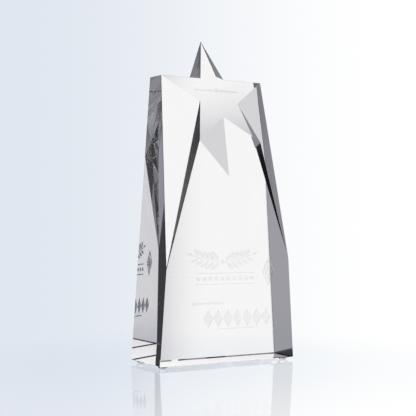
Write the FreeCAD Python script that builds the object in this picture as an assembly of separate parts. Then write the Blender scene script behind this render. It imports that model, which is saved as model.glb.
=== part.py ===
import FreeCAD, Part
import math
import os

# Star tower award: one tall block of optical crystal, cut so that a five-pointed star leans back
# across its top. The block narrows towards flat shoulders, and the star's top point stands above
# them as a spike. A V-groove runs down each side of the star, and a notch divides its two legs.
# Shallow marks are etched into the front and filled with pale enamel, and four clear bumper pads
# carry the block.
#
# Millimetres, +Z up, +X to the right when seen from the front, front face towards -Y. The origin is
# the middle of the footprint, on the surface that the award stands on. Names that end in HEIGHT are
# measured up from the crystal's underside, except for the pads' own thickness.

# ---- driving dimensions: the crystal ----
TOTAL_HEIGHT = 251.0          # to where the spike's edges would meet: its blunted tip is lower
BASE_WIDTH = 121.0
SHOULDER_WIDTH = 91.8
DEPTH = 45.5
SHOULDER_HEIGHT = 218.8       # the two flat shoulders, and the star's arm tips
LEG_TIP_HEIGHT = 168.6        # where the star plane starts from the front face
LEG_SPAN = 55.6               # between the star's two leg tips
GROOVE_FOOT_LEFT_HEIGHT = 71.5    # the side grooves run out on the front corners,
GROOVE_FOOT_RIGHT_HEIGHT = 77.5   # the right one a little higher: they are ground by hand
NOTCH_FOOT_HEIGHT = 142.0     # the notch between the legs runs out on the front face here,
NOTCH_FOOT_X = -1.2           # a little left of the middle
ARRIS = 0.4                   # width of the polished bevel on every outer edge
FOOT_ARRIS = 0.8              # the same round the underside, where the block would chip first
CORNER_ARRIS = 0.8            # and down the two back corners, which run from foot to shoulder

# ---- driving dimensions: pads, recesses and enamel ----
PAD_THICKNESS = 2.2
PAD_TOP_RADIUS = 4.0
PAD_SOLE_RADIUS = 1.6         # the domed pad is pressed flat here
PAD_INSET = 6.0               # pad centre in from the crystal's sides, front and back
RECESS_DEPTH = 0.2
ENAMEL_THICKNESS = 0.15

SAME_POINT = 1e-6             # two corners closer than this are one corner

# Places of the marks: how far right of the middle, and how high on the crystal.
NAME_PLACE = (0.8, 209.0)
GARLAND_PLACE = (-6.5, 76.8)
PEARLS_PLACE = (-3.8, 63.8)
EMBLEM_PLACE = (35.6, 68.2)
DASHES_PLACE = (-19.2, 45.3)
LOZENGES_PLACE = (7.5, 33.6)
FOOTNOTE_PLACE = (5.8, 25.6)

FRONT_Y = -DEPTH / 2
BACK_Y = DEPTH / 2
STAR_RISE = TOTAL_HEIGHT - LEG_TIP_HEIGHT
STAR_LEAN = math.degrees(math.atan2(DEPTH, STAR_RISE))

# Each side's name, its sign along X, and the height of its groove foot.
SIDES = [
    ("_left", -1, GROOVE_FOOT_LEFT_HEIGHT),
    ("_right", 1, GROOVE_FOOT_RIGHT_HEIGHT),
]


# ---- the crystal's corners ----

def half_width(height):
    """Half the block's width at a height: the side walls lean in evenly."""
    share = height / SHOULDER_HEIGHT
    return (BASE_WIDTH + (SHOULDER_WIDTH - BASE_WIDTH) * share) / 2


def star_plane_y(height):
    """Y of the leaning star plane, from the front face at the leg tips to the back at the apex."""
    return FRONT_Y + DEPTH * (height - LEG_TIP_HEIGHT) / STAR_RISE


def crossing(line_a, line_b):
    """Where two lines cross, each given by two (x, height) points in the front view."""
    (start_x, start_z), (end_x, end_z) = line_a
    (other_x, other_z), (other_end_x, other_end_z) = line_b
    run, rise = end_x - start_x, end_z - start_z
    other_run, other_rise = other_end_x - other_x, other_end_z - other_z
    gap_x, gap_z = other_x - start_x, other_z - start_z
    share = (gap_x * other_rise - gap_z * other_run) / (run * other_rise - rise * other_run)
    return start_x + share * run, start_z + share * rise


def star_corners():
    """The star's outline in the front view: its five tips joined by straight lines."""
    apex = (0, TOTAL_HEIGHT)
    outline = {"apex": apex}
    for side, sign, _ in SIDES:
        arm = (sign * half_width(SHOULDER_HEIGHT), SHOULDER_HEIGHT)
        other_arm = (-arm[0], SHOULDER_HEIGHT)
        leg = (sign * LEG_SPAN / 2, LEG_TIP_HEIGHT)
        other_leg = (-leg[0], LEG_TIP_HEIGHT)
        outline["arm_tip" + side] = arm
        outline["leg_tip" + side] = leg
        outline["neck" + side] = crossing((apex, leg), (arm, other_arm))
        outline["armpit" + side] = crossing((apex, leg), (arm, other_leg))
    rising_line = (outline["leg_tip_left"], outline["arm_tip_right"])
    falling_line = (outline["arm_tip_left"], outline["leg_tip_right"])
    outline["crotch"] = crossing(rising_line, falling_line)
    return outline


def crystal_corners():
    """Every corner of the block by name."""
    star = star_corners()
    corners = {
        name: FreeCAD.Vector(x, star_plane_y(height), height)
        for name, (x, height) in star.items()
    }
    foot_x = half_width(0)
    shoulder_x = half_width(SHOULDER_HEIGHT)
    neck_x = abs(star["neck_left"][0])
    corners["notch_foot"] = FreeCAD.Vector(NOTCH_FOOT_X, FRONT_Y, NOTCH_FOOT_HEIGHT)
    for side, sign, groove_foot in SIDES:
        groove_x = half_width(groove_foot)
        corners["front_foot" + side] = FreeCAD.Vector(sign * foot_x, FRONT_Y, 0)
        corners["back_foot" + side] = FreeCAD.Vector(sign * foot_x, BACK_Y, 0)
        corners["groove_foot" + side] = FreeCAD.Vector(sign * groove_x, FRONT_Y, groove_foot)
        corners["back_shoulder" + side] = FreeCAD.Vector(sign * shoulder_x, BACK_Y, SHOULDER_HEIGHT)
        corners["back_neck" + side] = FreeCAD.Vector(sign * neck_x, BACK_Y, SHOULDER_HEIGHT)
    for corner in corners.values():
        corner.z += PAD_THICKNESS
    return corners


# ---- the crystal's faces, as loops of corner names ----

MIDDLE_FACES = {
    "underside": ["front_foot_left", "back_foot_left", "back_foot_right", "front_foot_right"],
    "front": ["front_foot_left", "groove_foot_left", "leg_tip_left", "notch_foot",
              "leg_tip_right", "groove_foot_right", "front_foot_right"],
    "star": ["apex", "neck_left", "arm_tip_left", "armpit_left", "leg_tip_left", "crotch",
             "leg_tip_right", "armpit_right", "arm_tip_right", "neck_right"],
    "back": ["back_foot_left", "back_shoulder_left", "back_neck_left", "apex",
             "back_neck_right", "back_shoulder_right", "back_foot_right"],
}

# Each of these faces is there twice, on the left and on the right. A name that ends in an
# underscore takes the side's name after it.
SIDE_FACES = {
    "side_wall": ["front_foot_", "groove_foot_", "arm_tip_", "back_shoulder_", "back_foot_"],
    "shoulder": ["arm_tip_", "neck_", "back_neck_", "back_shoulder_"],
    "spike_side": ["apex", "neck_", "back_neck_"],
    "groove_outer": ["arm_tip_", "armpit_", "groove_foot_"],
    "groove_inner": ["armpit_", "groove_foot_", "leg_tip_"],
    "notch_half": ["crotch", "leg_tip_", "notch_foot"],
}


def flat_face(points):
    return Part.Face(Part.makePolygon(points + points[:1]))


def sharp_block():
    """The block with knife-sharp edges, sewn from its flat faces."""
    corners = crystal_corners()
    loops = list(MIDDLE_FACES.values())
    for loop in SIDE_FACES.values():
        for side in ("left", "right"):
            loops.append([name + side if name.endswith("_") else name for name in loop])
    faces = [flat_face([corners[name] for name in loop]) for loop in loops]
    block = Part.makeSolid(Part.makeShell(faces))
    if block.Volume < 0:
        block.reverse()
    return block


# ---- the polished bevels ----

def is_ridge(block, edge):
    """True where the two faces at an edge meet outwards, false in the bottom of a groove."""
    face_a, face_b = block.ancestorsOfType(edge, Part.Face)
    across = face_b.CenterOfMass - face_a.CenterOfMass
    return across.dot(face_b.normalAt(0, 0)) > 0


def arris_width(edge):
    """How wide the bevel on an edge is. The back corners lean, so they alone outrun the shoulders."""
    if edge.BoundBox.ZMax < PAD_THICKNESS + SAME_POINT:
        return FOOT_ARRIS
    if edge.Length > SHOULDER_HEIGHT:
        return CORNER_ARRIS
    return ARRIS


def bevel_tool(block, edge, groove_ends):
    """A long prism that takes the tip off one ridge and leaves a narrow facet."""
    width = arris_width(edge)
    face_a, face_b = block.ancestorsOfType(edge, Part.Face)
    normal_a = face_a.normalAt(0, 0)
    normal_b = face_b.normalAt(0, 0)
    start, end = (vertex.Point for vertex in edge.Vertexes)
    along = (end - start).normalize()
    if not any(start.isEqual(point, SAME_POINT) for point in groove_ends):
        start = start - along * width
    if not any(end.isEqual(point, SAME_POINT) for point in groove_ends):
        end = end + along * width
    outward = (normal_a + normal_b).normalize()
    sideways = along.cross(outward)
    half_angle = (math.pi - normal_a.getAngle(normal_b)) / 2
    facet_centre = start - outward * (width / 2 / math.tan(half_angle))
    triangle = [facet_centre + sideways * width, facet_centre - sideways * width, start + outward * width]
    return flat_face(triangle).extrude(end - start)


def bevelled_block():
    block = sharp_block()
    ridges = [edge for edge in block.Edges if is_ridge(block, edge)]
    grooves = [edge for edge in block.Edges if not is_ridge(block, edge)]
    groove_ends = [vertex.Point for edge in grooves for vertex in edge.Vertexes]
    return block.cut([bevel_tool(block, edge, groove_ends) for edge in ridges])


# ---- outlines of the marks, drawn flat: +X right and +Y up as the mark is seen ----

def bar(x, y, length, height):
    """A level bar with round ends, centred on x, y."""
    radius = height / 2
    reach = length / 2 - radius
    low_left = FreeCAD.Vector(x - reach, y - radius)
    low_right = FreeCAD.Vector(x + reach, y - radius)
    high_right = FreeCAD.Vector(x + reach, y + radius)
    high_left = FreeCAD.Vector(x - reach, y + radius)
    right_end = Part.Arc(low_right, FreeCAD.Vector(x + length / 2, y), high_right)
    left_end = Part.Arc(high_left, FreeCAD.Vector(x - length / 2, y), low_left)
    edges = [
        Part.makeLine(low_left, low_right),
        right_end.toShape(),
        Part.makeLine(high_right, high_left),
        left_end.toShape(),
    ]
    return Part.Face(Part.Wire(edges))


def disc(x, y, radius):
    return Part.Face(Part.Wire(Part.makeCircle(radius, FreeCAD.Vector(x, y))))


def lozenge(x, y, width, height):
    return flat_face([
        FreeCAD.Vector(x + width / 2, y),
        FreeCAD.Vector(x, y + height / 2),
        FreeCAD.Vector(x - width / 2, y),
        FreeCAD.Vector(x, y - height / 2),
    ])


def leaf(base, angle, length, width):
    """A pointed leaf between two arcs, growing from its base at an angle in radians."""
    along = FreeCAD.Vector(math.cos(angle), math.sin(angle))
    across = FreeCAD.Vector(-along.y, along.x)
    tip = base + along * length
    belly = base + along * (length * 0.5)
    upper = Part.Arc(base, belly + across * (width / 2), tip)
    lower = Part.Arc(tip, belly - across * (width / 2), base)
    return Part.Face(Part.Wire([upper.toShape(), lower.toShape()]))


def mirrored(face):
    return face.mirror(FreeCAD.Vector(), FreeCAD.Vector(1, 0, 0))


# ---- the marks ----

def name_marks():
    """A fine rule broken by a lozenge and two dots, 39 mm long."""
    marks = [lozenge(0, 0, 6.2, 4.6)]
    for side in (-1, 1):
        marks.append(disc(side * 5.0, 0, 0.9))
        marks.append(bar(side * 13.2, 0, 13.0, 1.1))
    return marks


def garland_marks():
    """Two laurel sprays that grow outwards from a berry and curve up, 61 mm from tip to tip."""
    sprig_radius = 75.0
    stem_start, stem_end = 3.0, 26.0
    stem_width = 0.8
    leaf_pairs = 5
    leaf_pitch = 4.7
    leaf_spread = math.radians(42)
    leaf_gap = 0.9

    def on_sprig(distance, offset):
        """A point at a distance along the stem from the middle, and an offset above the stem."""
        turn = distance / sprig_radius
        radius = sprig_radius - offset
        return FreeCAD.Vector(radius * math.sin(turn), sprig_radius - radius * math.cos(turn))

    lower, upper = -stem_width / 2, stem_width / 2
    stem_middle = (stem_start + stem_end) / 2
    stem_edges = [
        Part.Arc(*(on_sprig(d, lower) for d in (stem_start, stem_middle, stem_end))).toShape(),
        Part.makeLine(on_sprig(stem_end, lower), on_sprig(stem_end, upper)),
        Part.Arc(*(on_sprig(d, upper) for d in (stem_end, stem_middle, stem_start))).toShape(),
        Part.makeLine(on_sprig(stem_start, upper), on_sprig(stem_start, lower)),
    ]
    spray = [Part.Face(Part.Wire(stem_edges))]
    for pair in range(leaf_pairs):
        distance = stem_start + 0.4 + pair * leaf_pitch
        length = 9.0 - 0.6 * pair
        turn = distance / sprig_radius
        for side in (-1, 1):
            base = on_sprig(distance, side * leaf_gap)
            spray.append(leaf(base, turn + side * leaf_spread, length, 2.4))
    spray.append(leaf(on_sprig(stem_end + leaf_gap, 0), stem_end / sprig_radius, 5.2, 2.0))
    return [disc(0, 0, 1.7)] + spray + [mirrored(face) for face in spray]


def pearl_marks():
    """A row of ten pearls between two fine rules."""
    pearls = 10
    pitch = 5.4
    marks = [disc((index - (pearls - 1) / 2) * pitch, 0, 1.55) for index in range(pearls)]
    for side in (-1, 1):
        marks.append(bar(0, side * 4.2, 52.4, 0.9))
    return marks


def emblem_marks():
    """An upright lozenge in a lozenge frame."""
    frame = lozenge(0, 0, 11.6, 21.2).cut(lozenge(0, 0, 8.8, 16.1)).Faces[0]
    return [frame, lozenge(0, 0, 6.2, 11.4)]


def dash_marks():
    """Three short dashes in a row, 27 mm long."""
    return [bar(-8.8, 0, 9.8, 1.9), bar(0.6, 0, 5.6, 1.9), bar(9.2, 0, 8.2, 1.9)]


def lozenge_row_marks():
    """Seven bold lozenges, point to point."""
    lozenges = 7
    pitch = 8.8
    places = [(index - (lozenges - 1) / 2) * pitch for index in range(lozenges)]
    return [lozenge(x, 0, 8.0, 12.8) for x in places]


def footnote_marks():
    """One very fine rule in two lengths."""
    return [bar(-7.6, 0, 18.4, 0.9), bar(10.2, 0, 13.8, 0.9)]


# ---- recesses and the enamel in them ----

def on_front(place):
    """The placement of a mark on the front face: its +Z points out of the crystal."""
    x, height = place
    point = FreeCAD.Vector(x, FRONT_Y, PAD_THICKNESS + height)
    return FreeCAD.Placement(point, FreeCAD.Rotation(FreeCAD.Vector(1, 0, 0), 90))


def on_star(place):
    """The placement of a mark on the leaning star plane."""
    x, height = place
    point = FreeCAD.Vector(x, star_plane_y(height), PAD_THICKNESS + height)
    return FreeCAD.Placement(point, FreeCAD.Rotation(FreeCAD.Vector(1, 0, 0), 90 - STAR_LEAN))


MARKS = {
    "name_rule_enamel": (name_marks, on_star(NAME_PLACE)),
    "laurel_garland_enamel": (garland_marks, on_front(GARLAND_PLACE)),
    "pearl_band_enamel": (pearl_marks, on_front(PEARLS_PLACE)),
    "lozenge_emblem_enamel": (emblem_marks, on_front(EMBLEM_PLACE)),
    "short_dashes_enamel": (dash_marks, on_front(DASHES_PLACE)),
    "lozenge_row_enamel": (lozenge_row_marks, on_front(LOZENGES_PLACE)),
    "footnote_rule_enamel": (footnote_marks, on_front(FOOTNOTE_PLACE)),
}


def sunk_slabs(faces, placement, thickness):
    """The outlines as slabs that rise by a thickness from the recess floor."""
    slabs = []
    for face in faces:
        slab = face.extrude(FreeCAD.Vector(0, 0, thickness))
        slab.translate(FreeCAD.Vector(0, 0, -RECESS_DEPTH))
        slab.Placement = placement.multiply(slab.Placement)
        slabs.append(slab)
    return slabs


# ---- the bumper pads ----

def bumper_pad(x, y):
    """A low domed pad with a flat sole at z = 0 and a flat sticky top against the crystal."""
    sole_edge = FreeCAD.Vector(PAD_SOLE_RADIUS, 0, 0)
    top_edge = FreeCAD.Vector(PAD_TOP_RADIUS, 0, PAD_THICKNESS)
    bulge = FreeCAD.Vector(PAD_TOP_RADIUS * 0.83, 0, PAD_THICKNESS * 0.4)
    top_centre = FreeCAD.Vector(0, 0, PAD_THICKNESS)
    profile = Part.Wire([
        Part.makeLine(FreeCAD.Vector(), sole_edge),
        Part.Arc(sole_edge, bulge, top_edge).toShape(),
        Part.makeLine(top_edge, top_centre),
        Part.makeLine(top_centre, FreeCAD.Vector()),
    ])
    pad = Part.Face(profile).revolve(FreeCAD.Vector(), FreeCAD.Vector(0, 0, 1), 360)
    pad.translate(FreeCAD.Vector(x, y, 0))
    return pad


def bumper_pads():
    reach_x = BASE_WIDTH / 2 - PAD_INSET
    reach_y = DEPTH / 2 - PAD_INSET
    places = [(x, y) for x in (-reach_x, reach_x) for y in (-reach_y, reach_y)]
    return Part.makeCompound([bumper_pad(x, y) for x, y in places])


def main():
    parts = {}
    recess_tools = []
    for name, (draw, placement) in MARKS.items():
        faces = draw()
        recess_tools += sunk_slabs(faces, placement, 2 * RECESS_DEPTH)
        parts[name] = Part.makeCompound(sunk_slabs(faces, placement, ENAMEL_THICKNESS))
    parts["crystal_tower"] = bevelled_block().cut(recess_tools)
    parts["bumper_pads"] = bumper_pads()
    os.makedirs("parts", exist_ok=True)
    for name, shape in parts.items():
        shape.exportStep(f"parts/{name}.step")


main()
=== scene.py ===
import math
from collections import namedtuple

import bpy
from mathutils import Matrix, Vector

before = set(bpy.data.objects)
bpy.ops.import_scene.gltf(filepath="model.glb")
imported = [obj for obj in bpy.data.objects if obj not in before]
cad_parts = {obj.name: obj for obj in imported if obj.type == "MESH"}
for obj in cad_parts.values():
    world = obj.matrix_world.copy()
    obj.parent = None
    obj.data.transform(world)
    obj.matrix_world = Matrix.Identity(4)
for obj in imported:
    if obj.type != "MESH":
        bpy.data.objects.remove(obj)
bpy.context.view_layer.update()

# The scene is a crystal award in a small studio: white paper behind it, a grey card to its left, a
# soft box overhead, a pale table below and a dim room elsewhere, so that the glass has dark edges.
# Everything is in metres.

WHITE = (1.0, 1.0, 1.0, 1.0)

# ---- camera ----
CAMERA_AZIMUTH = math.radians(-31.64)
CAMERA_ELEVATION = math.radians(-0.225)
CAMERA_ROLL = math.radians(0.41)
CAMERA_DISTANCE = 0.8283
CAMERA_TARGET = Vector((-0.0059, 0.0, 0.1196))
CAMERA_LENS = 92.03
SENSOR_WIDTH = 36.0

# ---- glass ----
CRYSTAL_IOR = 1.517
# A light etch spoils reflections inside the glass far more than light that passes through it.
ETCH_SEEN_THROUGH = 0.15
ETCH_SEEN_INSIDE = 0.6
# Seen from inside the glass, the etch is also given a darker, bluer colour: painted cool shade, not a colour
# the etch has.
ETCH_SHADE_INSIDE = (0.82, 0.85, 1.0, 1.0)
# A surface is part of a recess floor if it lies this close to the floor's plane and is parallel to it.
PLANE_TOLERANCE = 2e-5
PARALLEL_COSINE = 0.999       # the cosine of the largest angle that still counts as parallel
HAIRLINE = 1e-5               # the gap that keeps touching surfaces from coinciding

# ---- enamel and pads ----
ENAMEL_COLOUR = (0.7, 0.7, 0.75, 1.0)
ENAMEL_COVER = 0.03           # how much of the light the thin enamel stops
PAD_IOR = 1.45
PAD_ROUGHNESS = 0.1

# ---- floor ----
FLOOR_REACH = 3.0
FLOOR_POLISH = 0.3            # how much the floor mirrors near the award
FLOOR_ROUGHNESS = 0.03
NEAR_AWARD = 0.05             # the floor's polish and shadow start to fade at this distance
SHADOW_REACH = 0.25
POLISH_REACH = 0.50
FLOOR_SHADOW = (0.93, 0.95, 0.97, 1.0)    # the floor close to the award


# ---- node helpers ----

class Nodes:
    """Adds nodes to one node tree and links them as it goes."""

    def __init__(self, tree):
        self.tree = tree
        tree.nodes.clear()

    def set(self, socket, value):
        if isinstance(value, bpy.types.NodeSocket):
            self.tree.links.new(value, socket)
        else:
            socket.default_value = value

    def add(self, kind, inputs=None, output=0, **settings):
        """Adds a node, sets or links its inputs by name or number, and returns one output socket."""
        node = self.tree.nodes.new(kind)
        for name, value in settings.items():
            setattr(node, name, value)
        for name, value in (inputs or {}).items():
            self.set(node.inputs[name], value)
        return node.outputs[output] if node.outputs else None

    def math(self, operation, *values):
        return self.add("ShaderNodeMath", dict(enumerate(values)), operation=operation)

    def smooth(self, value, start, end, low=0.0, high=1.0):
        """Runs smoothly from low to high as the value goes from start to end."""
        inputs = {"Value": value, "From Min": start, "From Max": end, "To Min": low, "To Max": high}
        return self.add("ShaderNodeMapRange", inputs, interpolation_type="SMOOTHSTEP")

    def axes(self, vector):
        node = self.tree.nodes.new("ShaderNodeSeparateXYZ")
        self.set(node.inputs[0], vector)
        return node.outputs

    def mix_colour(self, share, first, second):
        """Goes from the first colour to the second as the share goes from 0 to 1."""
        node = self.tree.nodes.new("ShaderNodeMix")
        node.data_type = "RGBA"
        sockets_in_use = [socket for socket in node.inputs if socket.enabled]
        for socket, value in zip(sockets_in_use, (share, first, second)):
            self.set(socket, value)
        return next(socket for socket in node.outputs if socket.enabled)


def outside_glass(nodes):
    """1 for light paths that have not passed through any glass, 0 for the others."""
    passes = nodes.add("ShaderNodeLightPath", output="Transmission Depth")
    return nodes.math("LESS_THAN", passes, 0.5)


def new_material(name):
    material = bpy.data.materials.new(name)
    material.use_nodes = True
    return material, Nodes(material.node_tree)


# ---- the studio ----

# Soft panels surround the award and turn with the camera. A bearing of 0 is straight behind the award,
# and positive bearings are to the camera's right. Low and high are slopes above the camera's horizon.
# All are in degrees, and level 1 is white paper. Where panels overlap, the brightest one is seen.
Panel = namedtuple("Panel", "bearing half_width low high level")
PANELS = {
    "white_paper": Panel(bearing=10, half_width=14, low=-15, high=10, level=1.0),
    "grey_card": Panel(bearing=-25, half_width=25, low=-15, high=10, level=0.75),
    "side_fill": Panel(bearing=-70, half_width=15, low=-15, high=10, level=0.4),
    "left_window": Panel(bearing=-125, half_width=25, low=-40, high=60, level=0.15),
    "overhead_box": Panel(bearing=0, half_width=30, low=5, high=70, level=1.05),
    "table": Panel(bearing=0, half_width=190, low=-90, high=-25, level=0.3),
}
ROOM_LEVEL = 0.01             # the unlit room
PANEL_EDGE = 4                # how far a panel fades on each side of its rim
ROOM_TINT = (0.88, 0.85, 1.0, 1.0)    # the dimmer the light, the nearer it comes to this

# What the camera sees directly behind the award: pale paper with painted shade, dim on the left and growing
# lighter to the right.
BACKDROP_DIM = (0.75, 0.80, 0.87, 1.0)
BACKDROP_REACH = 10           # degrees to each side of straight behind


def fades_in(nodes, angle, edge):
    """0 below an edge in degrees and 1 above it, with a soft step between."""
    return nodes.smooth(angle, math.radians(edge - PANEL_EDGE), math.radians(edge + PANEL_EDGE))


def panel_light(nodes, bearing, slope, panel):
    """One panel's light by direction. A panel that reaches straight up or down has no rim there."""
    aside = nodes.math("ABSOLUTE", nodes.math("SUBTRACT", bearing, math.radians(panel.bearing)))
    light = nodes.math("SUBTRACT", 1.0, fades_in(nodes, aside, panel.half_width))
    if panel.low > -90:
        light = nodes.math("MULTIPLY", light, fades_in(nodes, slope, panel.low))
    if panel.high < 90:
        below_top = nodes.math("SUBTRACT", 1.0, fades_in(nodes, slope, panel.high))
        light = nodes.math("MULTIPLY", light, below_top)
    return nodes.math("MULTIPLY", light, panel.level)


def studio_light(nodes, bearing, slope):
    """The light that reaches the crystal, by its direction as the camera sees it."""
    level = ROOM_LEVEL
    for panel in PANELS.values():
        level = nodes.math("MAXIMUM", level, panel_light(nodes, bearing, slope, panel))
    tint = nodes.mix_colour(level, ROOM_TINT, WHITE)
    return nodes.add("ShaderNodeVectorMath", {0: tint, "Scale": level}, operation="SCALE")


def build_world():
    world = bpy.data.worlds.new("studio")
    bpy.context.scene.world = world
    world.use_nodes = True
    nodes = Nodes(world.node_tree)
    right, up, ahead = nodes.axes(nodes.add("ShaderNodeTexCoord", output="Camera"))
    bearing = nodes.math("ARCTAN2", right, ahead)
    slope = nodes.math("ARCSINE", up)
    light = studio_light(nodes, bearing, slope)
    # The backdrop's painted shade runs from dim on the left to white on the right.
    reach = math.radians(BACKDROP_REACH)
    backdrop = nodes.mix_colour(nodes.smooth(bearing, -reach, reach), BACKDROP_DIM, WHITE)
    ahead_only = nodes.math("LESS_THAN", nodes.math("ABSOLUTE", bearing), 2 * reach)
    # Light that has come through the glass always comes from the panels, never from the backdrop.
    shows_backdrop = nodes.math("MULTIPLY", outside_glass(nodes), ahead_only)
    colour = nodes.mix_colour(shows_backdrop, light, backdrop)
    background = nodes.add("ShaderNodeBackground", {"Color": colour})
    nodes.add("ShaderNodeOutputWorld", {"Surface": background})


# ---- materials ----

def recess_floor(name):
    """The way out of the crystal at an enamel mark, and how far out the floor of its recess lies."""
    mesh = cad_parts[name].data
    front_polygons = [polygon for polygon in mesh.polygons if polygon.normal.y < -0.5]
    outward = max(front_polygons, key=lambda polygon: polygon.area).normal.copy()
    return outward, min(outward.dot(vertex.co) for vertex in mesh.vertices)


def on_plane(nodes, outward, distance):
    """1 on surfaces that lie in one plane, 0 elsewhere."""
    position = nodes.add("ShaderNodeNewGeometry", output="Position")
    normal = nodes.add("ShaderNodeNewGeometry", output="True Normal")
    reach = nodes.add("ShaderNodeVectorMath", {0: position, 1: outward}, "Value", operation="DOT_PRODUCT")
    facing = nodes.add("ShaderNodeVectorMath", {0: normal, 1: outward}, "Value", operation="DOT_PRODUCT")
    close = nodes.math("COMPARE", reach, distance, PLANE_TOLERANCE)
    parallel = nodes.math("GREATER_THAN", nodes.math("ABSOLUTE", facing), PARALLEL_COSINE)
    return nodes.math("MULTIPLY", close, parallel)


def crystal_material():
    material, nodes = new_material("optical_crystal")
    on_front = on_plane(nodes, *recess_floor("lozenge_row_enamel"))
    on_star = on_plane(nodes, *recess_floor("name_rule_enamel"))
    etched = nodes.math("MAXIMUM", on_front, on_star)
    polished = nodes.add("ShaderNodeBsdfGlass", {"Roughness": 0.0, "IOR": CRYSTAL_IOR})
    from_inside = nodes.add("ShaderNodeNewGeometry", output="Backfacing")
    roughness = nodes.smooth(from_inside, 0.0, 1.0, ETCH_SEEN_THROUGH, ETCH_SEEN_INSIDE)
    # Etched surfaces hit from inside get painted shade, a darker and bluer colour.
    tint = nodes.mix_colour(from_inside, WHITE, ETCH_SHADE_INSIDE)
    frosted = nodes.add("ShaderNodeBsdfGlass", {"Color": tint, "Roughness": roughness, "IOR": CRYSTAL_IOR})
    surface = nodes.add("ShaderNodeMixShader", {0: etched, 1: polished, 2: frosted})
    nodes.add("ShaderNodeOutputMaterial", {"Surface": surface})
    return material


def enamel_material():
    material, nodes = new_material("pale_enamel")
    body = nodes.add("ShaderNodeBsdfDiffuse", {"Color": ENAMEL_COLOUR})
    clear = nodes.add("ShaderNodeBsdfTransparent")
    surface = nodes.add("ShaderNodeMixShader", {0: ENAMEL_COVER, 1: clear, 2: body})
    nodes.add("ShaderNodeOutputMaterial", {"Surface": surface})
    return material


def pad_material():
    material, nodes = new_material("clear_pad")
    surface = nodes.add("ShaderNodeBsdfGlass", {"Roughness": PAD_ROUGHNESS, "IOR": PAD_IOR})
    nodes.add("ShaderNodeOutputMaterial", {"Surface": surface})
    return material


def leave_hairline(node):
    """Shrinks what is stuck to the crystal by a hair, so that no two surfaces coincide."""
    gap = node.modifiers.new("hairline", "DISPLACE")
    gap.mid_level = 0.0
    gap.strength = -HAIRLINE


def dress_nodes():
    """Gives every CAD node its material. All but the crystal and the pads are enamel."""
    special = {"crystal_tower": crystal_material(), "bumper_pads": pad_material()}
    enamel = enamel_material()
    for name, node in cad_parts.items():
        node.data.materials.clear()
        node.data.materials.append(special.get(name, enamel))
        if name != "crystal_tower":
            leave_hairline(node)


# ---- floor ----

def build_floor():
    mesh = bpy.data.meshes.new("floor")
    corners = [(x * FLOOR_REACH, y * FLOOR_REACH, -HAIRLINE) for x, y in ((-1, -1), (1, -1), (1, 1), (-1, 1))]
    mesh.from_pydata(corners, [], [(0, 1, 2, 3)])
    floor = bpy.data.objects.new("floor", mesh)
    bpy.context.scene.collection.objects.link(floor)
    material, nodes = new_material("floor")
    position = nodes.add("ShaderNodeNewGeometry", output="Position")
    distance = nodes.add("ShaderNodeVectorMath", {0: position}, "Value", operation="LENGTH")
    polish = nodes.smooth(distance, NEAR_AWARD, POLISH_REACH, FLOOR_POLISH, 0.0)
    # The table panel already stands for the light that the floor sends up through the crystal.
    polish = nodes.math("MULTIPLY", polish, outside_glass(nodes))
    tint = nodes.mix_colour(nodes.smooth(distance, NEAR_AWARD, SHADOW_REACH), FLOOR_SHADOW, WHITE)
    clear = nodes.add("ShaderNodeBsdfTransparent", {"Color": tint})
    gloss = nodes.add("ShaderNodeBsdfGlossy", {"Color": tint, "Roughness": FLOOR_ROUGHNESS})
    surface = nodes.add("ShaderNodeMixShader", {0: polish, 1: clear, 2: gloss})
    nodes.add("ShaderNodeOutputMaterial", {"Surface": surface})
    mesh.materials.append(material)


# ---- camera ----

def build_camera():
    camera = bpy.data.cameras.new("camera")
    camera.sensor_width = SENSOR_WIDTH
    camera.lens = CAMERA_LENS
    holder = bpy.data.objects.new("camera", camera)
    bpy.context.scene.collection.objects.link(holder)
    bpy.context.scene.camera = holder
    turn = Matrix.Rotation(CAMERA_AZIMUTH, 4, "Z") @ Matrix.Rotation(math.pi / 2 - CAMERA_ELEVATION, 4, "X")
    roll = Matrix.Rotation(CAMERA_ROLL, 4, "Z")
    back = turn.to_3x3() @ Vector((0, 0, 1))
    holder.matrix_world = Matrix.Translation(CAMERA_TARGET + back * CAMERA_DISTANCE) @ turn @ roll


build_world()
dress_nodes()
build_floor()
build_camera()

# A ray crosses many facets before it leaves the crystal.
scene = bpy.context.scene
scene.cycles.max_bounces = 32
scene.cycles.transmission_bounces = 32
scene.cycles.glossy_bounces = 16
scene.cycles.transparent_max_bounces = 32
scene.view_settings.view_transform = "Standard"
